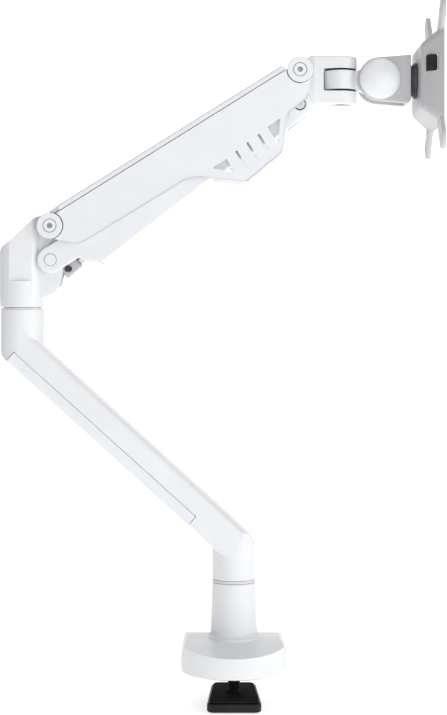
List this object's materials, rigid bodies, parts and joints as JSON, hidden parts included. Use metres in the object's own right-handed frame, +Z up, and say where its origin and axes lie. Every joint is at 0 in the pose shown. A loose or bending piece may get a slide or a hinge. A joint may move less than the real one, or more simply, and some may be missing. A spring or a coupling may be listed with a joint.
{
  "type": "monitor arm",
  "caption": "Gas-spring monitor arm: through-desk clamp base, bent swivelling lower arm, parallelogram lifting upper arm, and a head that pans, tilts and rotates a four-pronged screen plate.",
  "frame": {"origin": "centre of the base pad's underside, on the base swivel's axis, at the desk's top", "axes": "+Z up, +X from the elbow towards the screen plate, -Y towards the arm's near side"},
  "size_m": [0.3526, 0.118, 0.5601],
  "materials": {
    "white_coat": "white powder coat, satin",
    "white_plastic": "white moulded plastic, satin",
    "grey_casting": "light grey painted die casting",
    "black_plastic": "black moulded plastic",
    "rubber": "black soft pad",
    "zinc_steel": "zinc-plated steel",
    "dark_steel": "black oxide steel",
    "acetal": "natural acetal"
  },
  "bodies": {
    "base": {"base_casting": "white_coat", "base_bottom_plate": "zinc_steel", "base_pad": "rubber", "base_nut": "zinc_steel", "base_bush": "acetal", "base_screw_near": "zinc_steel", "base_screw_far": "zinc_steel", "base_washer_ring": "acetal"},
    "clamp": {"clamp_plate": "black_plastic", "clamp_pad": "rubber", "clamp_washer": "zinc_steel"},
    "clamp_screw": {"clamp_bolt": "dark_steel"},
    "lower_arm": {"lower_arm": "white_coat", "lower_arm_post": "zinc_steel", "lower_cable_cover": "white_plastic", "elbow_bush": "acetal", "elbow_washer_ring": "acetal"},
    "elbow": {"elbow_casting": "white_coat", "elbow_post": "zinc_steel", "rear_upper_pin": "white_coat", "rear_upper_pin_cap": "white_coat", "rear_lower_pin": "white_coat", "tension_screw": "dark_steel", "tension_trolley": "dark_steel"},
    "upper_arm": {"upper_arm_frame": "grey_casting", "near_side_cover": "white_plastic", "far_side_cover": "white_plastic", "top_cover": "white_plastic", "rear_near_disc": "white_plastic", "rear_far_disc": "white_plastic", "front_near_disc": "white_plastic", "front_far_disc": "white_plastic", "front_upper_pin": "white_coat", "front_upper_pin_cap": "white_coat", "strut_front_pin": "zinc_steel"},
    "lower_link": {"lower_link": "white_coat"},
    "strut": {"gas_cylinder": "dark_steel"},
    "strut_rod": {"gas_rod": "zinc_steel", "rod_end": "grey_casting", "rod_end_pin": "dark_steel"},
    "knuckle": {"knuckle": "white_coat", "front_lower_pin": "zinc_steel", "pan_bolt": "dark_steel", "pan_nut": "zinc_steel", "pan_washer_upper": "black_plastic", "pan_washer_lower": "black_plastic"},
    "yoke": {"pan_yoke": "white_coat"},
    "tilt_head": {"tilt_bracket": "grey_casting", "tilt_cap_near": "white_plastic", "tilt_cap_far": "white_plastic", "tilt_bolt": "dark_steel", "tilt_nut": "zinc_steel", "rotation_ring": "black_plastic", "rotation_bolt": "dark_steel", "rotation_washer": "zinc_steel", "rotation_nut": "zinc_steel"},
    "head": {"screen_plate": "grey_casting", "latch_spring": "zinc_steel"},
    "latch": {"latch_button": "black_plastic"}
  },
  "joints": [
    {"name": "clamp_slide", "type": "slide", "parent": "base", "child": "clamp", "axis": [0, 0, 1], "range_m": [-0.0161, 0.0101]},
    {"name": "clamp_screw_turn", "type": "hinge", "parent": "clamp", "child": "clamp_screw", "pos_m": [0, 0, -0.03], "axis": [0, 0, 1], "range_deg": [-3840, 2400]},
    {"name": "base_swivel", "type": "hinge", "parent": "base", "child": "lower_arm", "pos_m": [0, 0, 0.07], "axis": [0, 0, 1], "continuous": true},
    {"name": "elbow_swivel", "type": "hinge", "parent": "lower_arm", "child": "elbow", "pos_m": [-0.1704, 0, 0.289], "axis": [0, 0, 1], "continuous": true},
    {"name": "lift", "type": "hinge", "parent": "elbow", "child": "upper_arm", "pos_m": [-0.1465, 0, 0.355], "axis": [0, -1, 0], "range_deg": [-65, 13]},
    {"name": "link_swing", "type": "hinge", "parent": "elbow", "child": "lower_link", "pos_m": [-0.1465, 0, 0.328], "axis": [0, -1, 0], "range_deg": [-65.5, 13.5]},
    {"name": "head_level", "type": "hinge", "parent": "upper_arm", "child": "knuckle", "pos_m": [0.05241, 0, 0.47901], "axis": [0, -1, 0], "range_deg": [-13.5, 65.5]},
    {"name": "strut_swing", "type": "hinge", "parent": "upper_arm", "child": "strut", "pos_m": [0.01685, 0, 0.45212], "axis": [0, -1, 0], "range_deg": [-2.1, 0.6]},
    {"name": "strut_stroke", "type": "slide", "parent": "strut", "child": "strut_rod", "axis": [-0.7526, 0, -0.6585], "range_m": [-0.0396, 0.0082]},
    {"name": "head_pan", "type": "hinge", "parent": "knuckle", "child": "yoke", "pos_m": [0.086, 0, 0.4725], "axis": [0, 0, 1], "range_deg": [-90, 90]},
    {"name": "head_tilt", "type": "hinge", "parent": "yoke", "child": "tilt_head", "pos_m": [0.1166, 0, 0.4725], "axis": [0, -1, 0], "range_deg": [-35, 45]},
    {"name": "head_rotation", "type": "hinge", "parent": "tilt_head", "child": "head", "pos_m": [0.147, 0, 0.4725], "axis": [1, 0, 0], "continuous": true},
    {"name": "latch_press", "type": "slide", "parent": "head", "child": "latch", "axis": [0, 1, 0], "range_m": [0, 0.0025], "stiffness_N_per_m": 400, "springref_m": -0.002}
  ],
  "couplings": [
    {"joint": "clamp_slide", "follows": "clamp_screw_turn", "m_per_rad": 0.00023873},
    {"joint": "link_swing", "follows": "lift", "ratio": 1},
    {"joint": "head_level", "follows": "lift", "ratio": -1},
    {"joint": "strut_swing", "follows": "lift", "ratio": 0.0275},
    {"joint": "strut_stroke", "follows": "lift", "m_per_rad": 0.03441}
  ]
}
